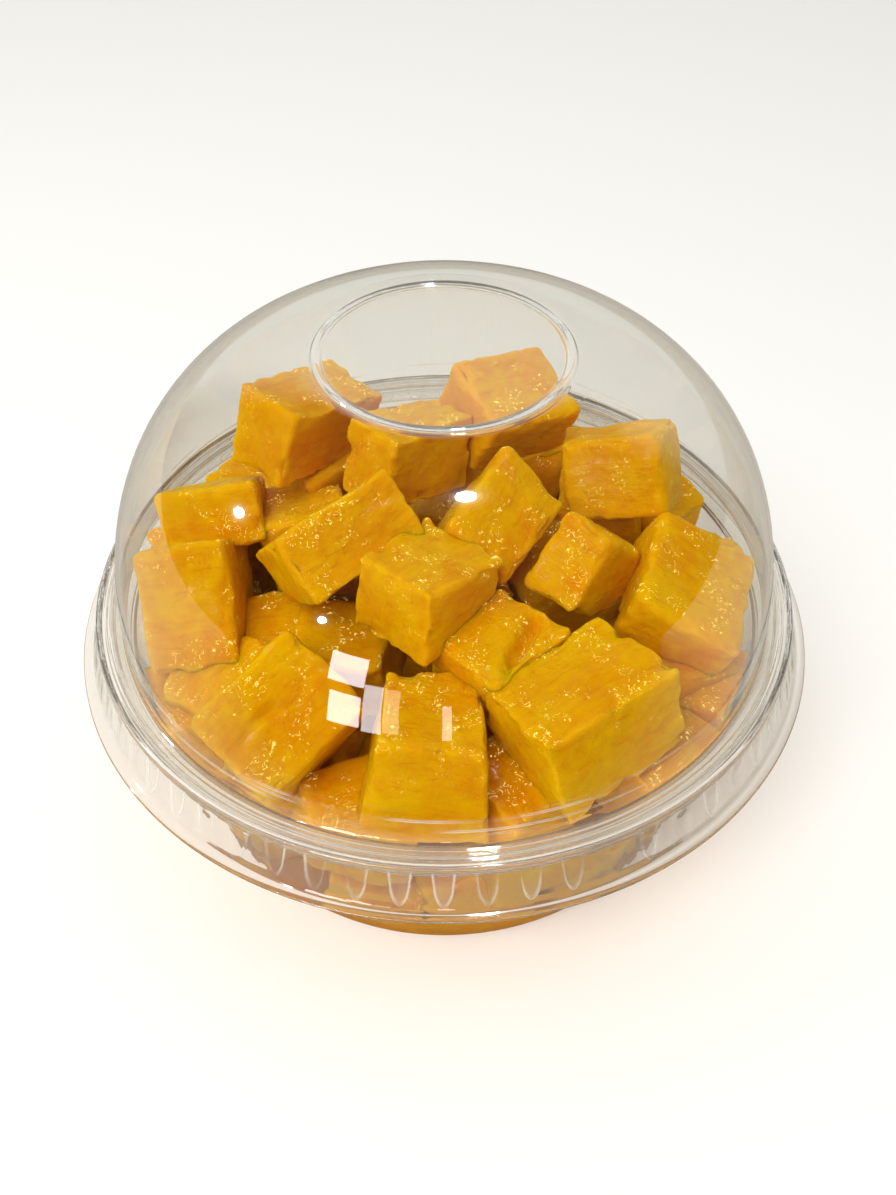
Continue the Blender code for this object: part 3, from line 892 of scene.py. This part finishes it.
def painted_highlights_and_ring_haze(nodes, where, parts):
    """Painted highlights as pale lines where the lid's edges catch the light round the flutes, painted
    reflections as broken streaks at the dome's foot, and a haze over the top ring.
    """
    x, y, z = (parts.outputs[axis] for axis in "XYZ")
    uneven = nodes.noise(where, UNEVEN_SCALE, 0.0)
    radius = nodes.math("SQRT", nodes.math("ADD", nodes.product(x, x), nodes.product(y, y)))
    strength = nodes.span(uneven, 0.35, 0.6, 0.2, 1.0)
    flute_highlight_share = nodes.product(painted_flute_highlights(nodes, x, y, z, radius), strength, FLUTE_HIGHLIGHT)
    breaks = nodes.noise(nodes.stretch(where, STREAK_SQUEEZE), UNEVEN_SCALE, 0.0)
    streak_reflection_share = nodes.product(painted_foot_reflections(nodes, z), nodes.span(breaks, 0.53, 0.63, 0.0, STREAK_REFLECTION))
    lines = nodes.math("MAXIMUM", flute_highlight_share, streak_reflection_share)
    return nodes.math("MAXIMUM", lines, top_ring_line(nodes, z, radius))


def top_ring_line(nodes, z, radius):
    """A faint haze over the ring round the lid's flat top."""
    low, high = (TOP_RING_RADIUS + side * TOP_RING_HALF_WIDTH for side in (-2, 2))
    top = FLANGE_TOP + PLATEAU_RISE
    return nodes.product(
        nodes.span(radius, low * MM, (low + 0.5) * MM),
        nodes.span(radius, (high - 0.5) * MM, high * MM, 1.0, 0.0),
        nodes.span(z, (top - 1.8) * MM, (top - 0.8) * MM, 0.0, RING_HAZE),
    )


def painted_flute_highlights(nodes, x, y, z, radius):
    """Painted highlights: thin pale lines round each flute of the skirt where its edges catch the light,
    down to its rounded tip.
    """
    turn = nodes.product(nodes.math("ARCTAN2", y, x), FLUTES / (2 * math.pi))
    from_middle = nodes.math("ABSOLUTE", nodes.math("SUBTRACT", turn, nodes.math("ROUND", turn)))
    offset = nodes.product(from_middle, 2 * math.pi * FLANGE_RADIUS / FLUTES)
    top, foot = (FLANGE_TOP - drop for drop in (FLUTE_TOP_DROP, FLUTE_FOOT_DROP))
    share = nodes.span(z, top * MM, foot * MM)
    half_width = nodes.math("ADD", FLUTE_TOP_HALF_WIDTH, nodes.product(share, FLUTE_TAPER))
    to_tip = nodes.span(share, 0.5, 0.95)
    rounding = nodes.math("SQRT", nodes.math("SUBTRACT", 1.0, nodes.product(to_tip, to_tip)))
    past_edge = nodes.math("SUBTRACT", offset, nodes.product(half_width, rounding))
    line = nodes.span(nodes.math("ABSOLUTE", past_edge), *FLUTE_LINE_EDGES, 1.0, 0.0)
    line = nodes.math("MAXIMUM", line, nodes.span(past_edge, -0.1, 0.0, FLUTE_FILL, 0.0))
    on_skirt = nodes.span(radius, SKIRT_FROM * MM, (SKIRT_FROM + 0.3) * MM)
    below_top = nodes.span(share, 0.0, 0.06)
    above_foot = nodes.span(share, 0.95, 0.99, 1.0, 0.0)
    return nodes.product(line, on_skirt, below_top, above_foot)


def painted_foot_reflections(nodes, z):
    """Painted reflections: thin level lines round the lowest few millimetres of the dome."""
    turns = nodes.math("DIVIDE", z, STREAK_SPACING * MM)
    from_line = nodes.math("ABSOLUTE", nodes.math("SUBTRACT", nodes.math("FRACT", turns), 0.5))
    line = nodes.span(from_line, 0.07, 0.17, 1.0, 0.0)
    low, high = (FLANGE_TOP + rise for rise in STREAK_RISES)
    above = nodes.span(z, low * MM, (low + 0.3) * MM)
    below = nodes.span(z, high * MM, (high + STREAK_FADE) * MM, 1.0, 0.0)
    return nodes.product(line, above, below)


def juice_material(name):
    """Cloudy mango juice."""
    material, shader, nodes = new_material(name)
    colour = linear(*JUICE_COLOUR)
    where = nodes.add("ShaderNodeTexCoord").outputs["Object"]
    cloud = nodes.noise(where, 160.0, 3.0, 0.6)
    deep = tuple(0.8 * c for c in colour[:3]) + (1.0,)
    clouded = nodes.mix(nodes.span(cloud, 0.35, 0.65), deep, colour)
    nodes.link(clouded, shader.inputs["Base Color"])
    shader.inputs["Subsurface Weight"].default_value = 0.8
    shader.inputs["Subsurface Radius"].default_value = (1.0, 0.6, 0.2)
    shader.inputs["Subsurface Scale"].default_value = 0.004
    shader.inputs["Roughness"].default_value = 0.15
    shader.inputs["IOR"].default_value = 1.34
    return material


def floor_material():
    """Plain pale, matt floor; its mirror image in the plastic is a painted glow, dim in front of the
    cup.
    """
    material, shader, nodes = new_material("pale_floor")
    where = nodes.add("ShaderNodeTexCoord").outputs["Object"]
    cloud = nodes.noise(where, 3.0, 2.0)
    nodes.link(nodes.mix(cloud, *FLOOR_COLOURS), shader.inputs["Base Color"])
    shader.inputs["Roughness"].default_value = 0.9
    parts = nodes.add("ShaderNodeSeparateXYZ", {0: where})
    beside = nodes.product(nodes.math("ABSOLUTE", parts.outputs["X"]), 0.35)
    # Painted reflection: brighter beside and behind the cup, dim in front of it
    painted_lit_share = nodes.span(nodes.math("ADD", parts.outputs["Y"], beside), -0.06, 0.03)
    mirrored = nodes.mix(painted_lit_share, *FLOOR_MIRRORED)
    glow = nodes.add("ShaderNodeEmission", {"Color": mirrored})
    material.cycles.emission_sampling = "NONE"
    depth = nodes.add("ShaderNodeLightPath").outputs["Glossy Depth"]
    # The first mirror image in the plastic shows the painted glow, all else the plain floor
    share = nodes.math("COMPARE", depth, 1.0)
    both = nodes.add("ShaderNodeMixShader", {0: share, 1: shader.outputs[0], 2: glow.outputs[0]})
    output = nodes.tree.nodes["Material Output"]
    nodes.link(both.outputs[0], output.inputs["Surface"])
    return material


# Pieces


def clear_piece(piece):
    """Clear plastic throws no shadow, so that the light on the fruit stays clean."""
    piece.visible_shadow = False
    piece.visible_diffuse = False
    return piece


def make_cup(material):
    """The clear cup in place of its solid."""
    cup = turned_shell("clear_cup", cup_outline(), CUP_SEGMENTS, rippled, material)
    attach(cup, "root")
    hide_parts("cup")
    return clear_piece(cup)


def make_lid(material):
    """The clear domed lid in place of its solid."""
    lid = turned_shell("clear_dome_lid", lid_outline(), LID_SEGMENTS, lid_point, material)
    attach(lid, "root")
    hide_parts("dome_lid")
    return clear_piece(lid)


def juice_outline():
    """Closed section of the juice at the bottom of the cup, which reaches just into the wall."""
    floor_height = BASE_PANEL_RISE + CUP_WALL - JUICE_OVERLAP
    fillet_centre = (FOOT_RADIUS - FOOT_FILLET, FOOT_FILLET)
    outline = [(0.0, floor_height), (BASE_PANEL_RADIUS - 0.1, floor_height)]
    outline += [(BASE_PANEL_RADIUS + 0.4, floor_height - 0.15)]
    outline += [(STAND_RING_INNER + 0.6, CUP_WALL - JUICE_OVERLAP)]
    outline += arc(fillet_centre, FOOT_FILLET - CUP_WALL + JUICE_OVERLAP, -75, 0, 8)
    rise = JUICE_LEVEL + JUICE_MENISCUS
    outline += [(cup_inner_radius(rise) + JUICE_OVERLAP, rise)]
    for i in range(1, JUICE_STEPS + 1):
        share = i / JUICE_STEPS
        radius = cup_inner_radius(rise) - JUICE_MENISCUS_WIDTH * share
        outline.append((radius, rise - JUICE_MENISCUS * (1 - (1 - share) ** 2)))
    outline += [(0.0, JUICE_LEVEL)]
    return outline


def make_juice(material):
    """A little cloudy juice round the lowest cubes."""
    juice = turned_shell("mango_juice", juice_outline(), CUP_SEGMENTS, rippled, material)
    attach(juice, "root")
    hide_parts("mango_cubes")


def make_mango(material):
    """The heap of cubes: the ones that show finely, the ones below them more simply."""
    shown = mango_piece("mango_cubes_on_top", SHOWN_CUBES, 0, SHOWN_STEP, material)
    below = list(SUPPORT_CUBES + WALL_CUBES) + fill_cubes()
    hidden = mango_piece("mango_cubes_below", below, len(SHOWN_CUBES), HIDDEN_STEP, material)
    for piece in (shown, hidden):
        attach(piece, "root")
        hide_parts("mango_cubes")


def make_floor(material):
    """The floor that the cup stands on."""
    half = FLOOR_SIZE / 2
    corners = [(x * half, y * half, -FLOOR_DROP) for x, y in ((-1, -1), (1, -1), (1, 1), (-1, 1))]
    floor = add_piece("pale_floor", corners, [(0, 1, 2, 3)], material, smooth=False)


# Light and camera


def make_world():
    """Soft light from all round, bright behind the cup and dim behind the camera."""
    world = bpy.data.worlds.new("soft_studio")
    world.use_nodes = True
    bpy.context.scene.world = world
    nodes = Nodes(world.node_tree)
    background = world.node_tree.nodes["Background"]
    direction = nodes.add("ShaderNodeTexCoord").outputs["Generated"]
    parts = nodes.add("ShaderNodeSeparateXYZ", {0: direction})
    back = nodes.span(parts.outputs["Y"], -0.1, 0.35)
    to_right = nodes.product(parts.outputs["X"], 0.2)
    window_wall = nodes.span(nodes.math("ADD", parts.outputs["Y"], to_right), 0.55, 0.72)
    ceiling = nodes.span(parts.outputs["Z"], 0.62, 0.68)
    wall = nodes.mix(window_wall, MIRRORED_WALL, ROOM_BRIGHT)
    mirrored = nodes.mix(ceiling, wall, MIRRORED_CEILING)
    room = nodes.mix(back, ROOM_DIM, ROOM_BRIGHT)
    path = nodes.add("ShaderNodeLightPath")
    # The first mirror image in the plastic shows its own room, all else the soft one
    share = nodes.math("COMPARE", path.outputs["Glossy Depth"], 1.0)
    colour = nodes.mix(share, room, mirrored)
    colour = nodes.mix(path.outputs["Is Camera Ray"], colour, BACKDROP)
    nodes.link(colour, background.inputs["Color"])
    background.inputs["Strength"].default_value = 1.0


def direction_vector(azimuth, elevation):
    """Unit vector of a direction: azimuth 0 is +Y and 90 is +X."""
    a, e = math.radians(azimuth), math.radians(elevation)
    return Vector((math.sin(a) * math.cos(e), math.cos(a) * math.cos(e), math.sin(e)))


def soft_light(name, direction, distance, size, radiance, colour=(1.0, 1.0, 1.0), round_shape=False):
    """An area light, in mm, that faces the cup, with its brightness given as radiance."""
    width, height = size
    data = bpy.data.lights.new(name, "AREA")
    data.shape = "ELLIPSE" if round_shape else "RECTANGLE"
    data.size = width * MM
    data.size_y = height * MM
    area = width * height * MM * MM * (math.pi / 4 if round_shape else 1.0)
    data.energy = radiance * area * math.pi
    data.color = colour
    light = bpy.data.objects.new(name, data)
    bpy.context.scene.collection.objects.link(light)
    centre = Vector((0.0, 0.0, LIT_HEIGHT)) * MM
    towards = direction_vector(*direction)
    light.location = centre + towards * distance * MM
    light.rotation_euler = (-towards).to_track_quat("-Z", "Y").to_euler()
    light.visible_camera = False
    light.visible_transmission = False
    return light


def glossy_only(light):
    """Keeps a lamp to highlights, so that it doesn't change the soft light."""
    light.visible_diffuse = False
    return light


def make_lights():
    """A broad soft light above, three small lamps with a glow round them, and a window."""
    wide = (KEY_SIZE, KEY_SIZE)
    key = soft_light("key_softbox", KEY_DIRECTION, KEY_DISTANCE, wide, KEY_RADIANCE, KEY_COLOUR)
    key.visible_glossy = False
    for name, azimuth, elevation, size, glow in LAMPS:
        direction = (azimuth, elevation)
        lamp = soft_light(name, direction, LAMP_DISTANCE, (size, size), LAMP_RADIANCE, round_shape=True)
        lamp.visible_transmission = True
        glossy_only(lamp)
        for ring, (spread, share) in enumerate(GLOW_RINGS):
            wide = (size * spread, size * spread)
            behind = LAMP_DISTANCE + 1 + ring
            halo = soft_light(name + "_glow", direction, behind, wide, glow * share, round_shape=True)
            glossy_only(halo)
    make_window()


def make_window():
    """A small window with thin bars, whose reflection shows on the front of the dome."""
    for azimuth, elevation, width, height, radiance, colour in WINDOW_PANES:
        size = [2 * WINDOW_DISTANCE * math.tan(math.radians(angle / 2)) for angle in (width, height)]
        direction = (azimuth, elevation)
        pane = soft_light("window_pane", direction, WINDOW_DISTANCE, size, radiance, colour)
        glossy_only(pane)


def make_camera():
    """The photograph's viewpoint, looking down at about 45 degrees."""
    data = bpy.data.cameras.new("photo_camera")
    data.sensor_fit = "VERTICAL"
    data.sensor_height = SENSOR
    data.lens = FOCAL_PIXELS / PHOTO_HEIGHT * SENSOR
    data.clip_start = 0.005
    data.clip_end = 20.0
    camera = bpy.data.objects.new("photo_camera", data)
    bpy.context.scene.collection.objects.link(camera)
    eye, aim = Vector(EYE) * MM, Vector(AIM) * MM
    camera.location = eye
    camera.rotation_euler = (aim - eye).to_track_quat("-Z", "Y").to_euler()
    bpy.context.scene.camera = camera


def settle_colours():
    """Plain colour response, and enough light bounces for two walls of clear plastic."""
    scene = bpy.context.scene
    scene.view_settings.view_transform = "Standard"
    scene.view_settings.look = "None"
    scene.cycles.max_bounces = LIGHT_BOUNCES
    scene.cycles.transmission_bounces = LIGHT_BOUNCES
    scene.cycles.caustics_refractive = False
    scene.cycles.caustics_reflective = False


make_camera()
make_world()
make_lights()
make_floor(floor_material())
make_mango(mango_material("mango_flesh"))
make_juice(juice_material("mango_juice"))
make_cup(clear_material("clear_cup_plastic", CUP_TINT, CUP_RIM_SPAN, False))
make_lid(clear_material("clear_lid_plastic", LID_TINT, LID_RIM_SPAN, True))
settle_colours()
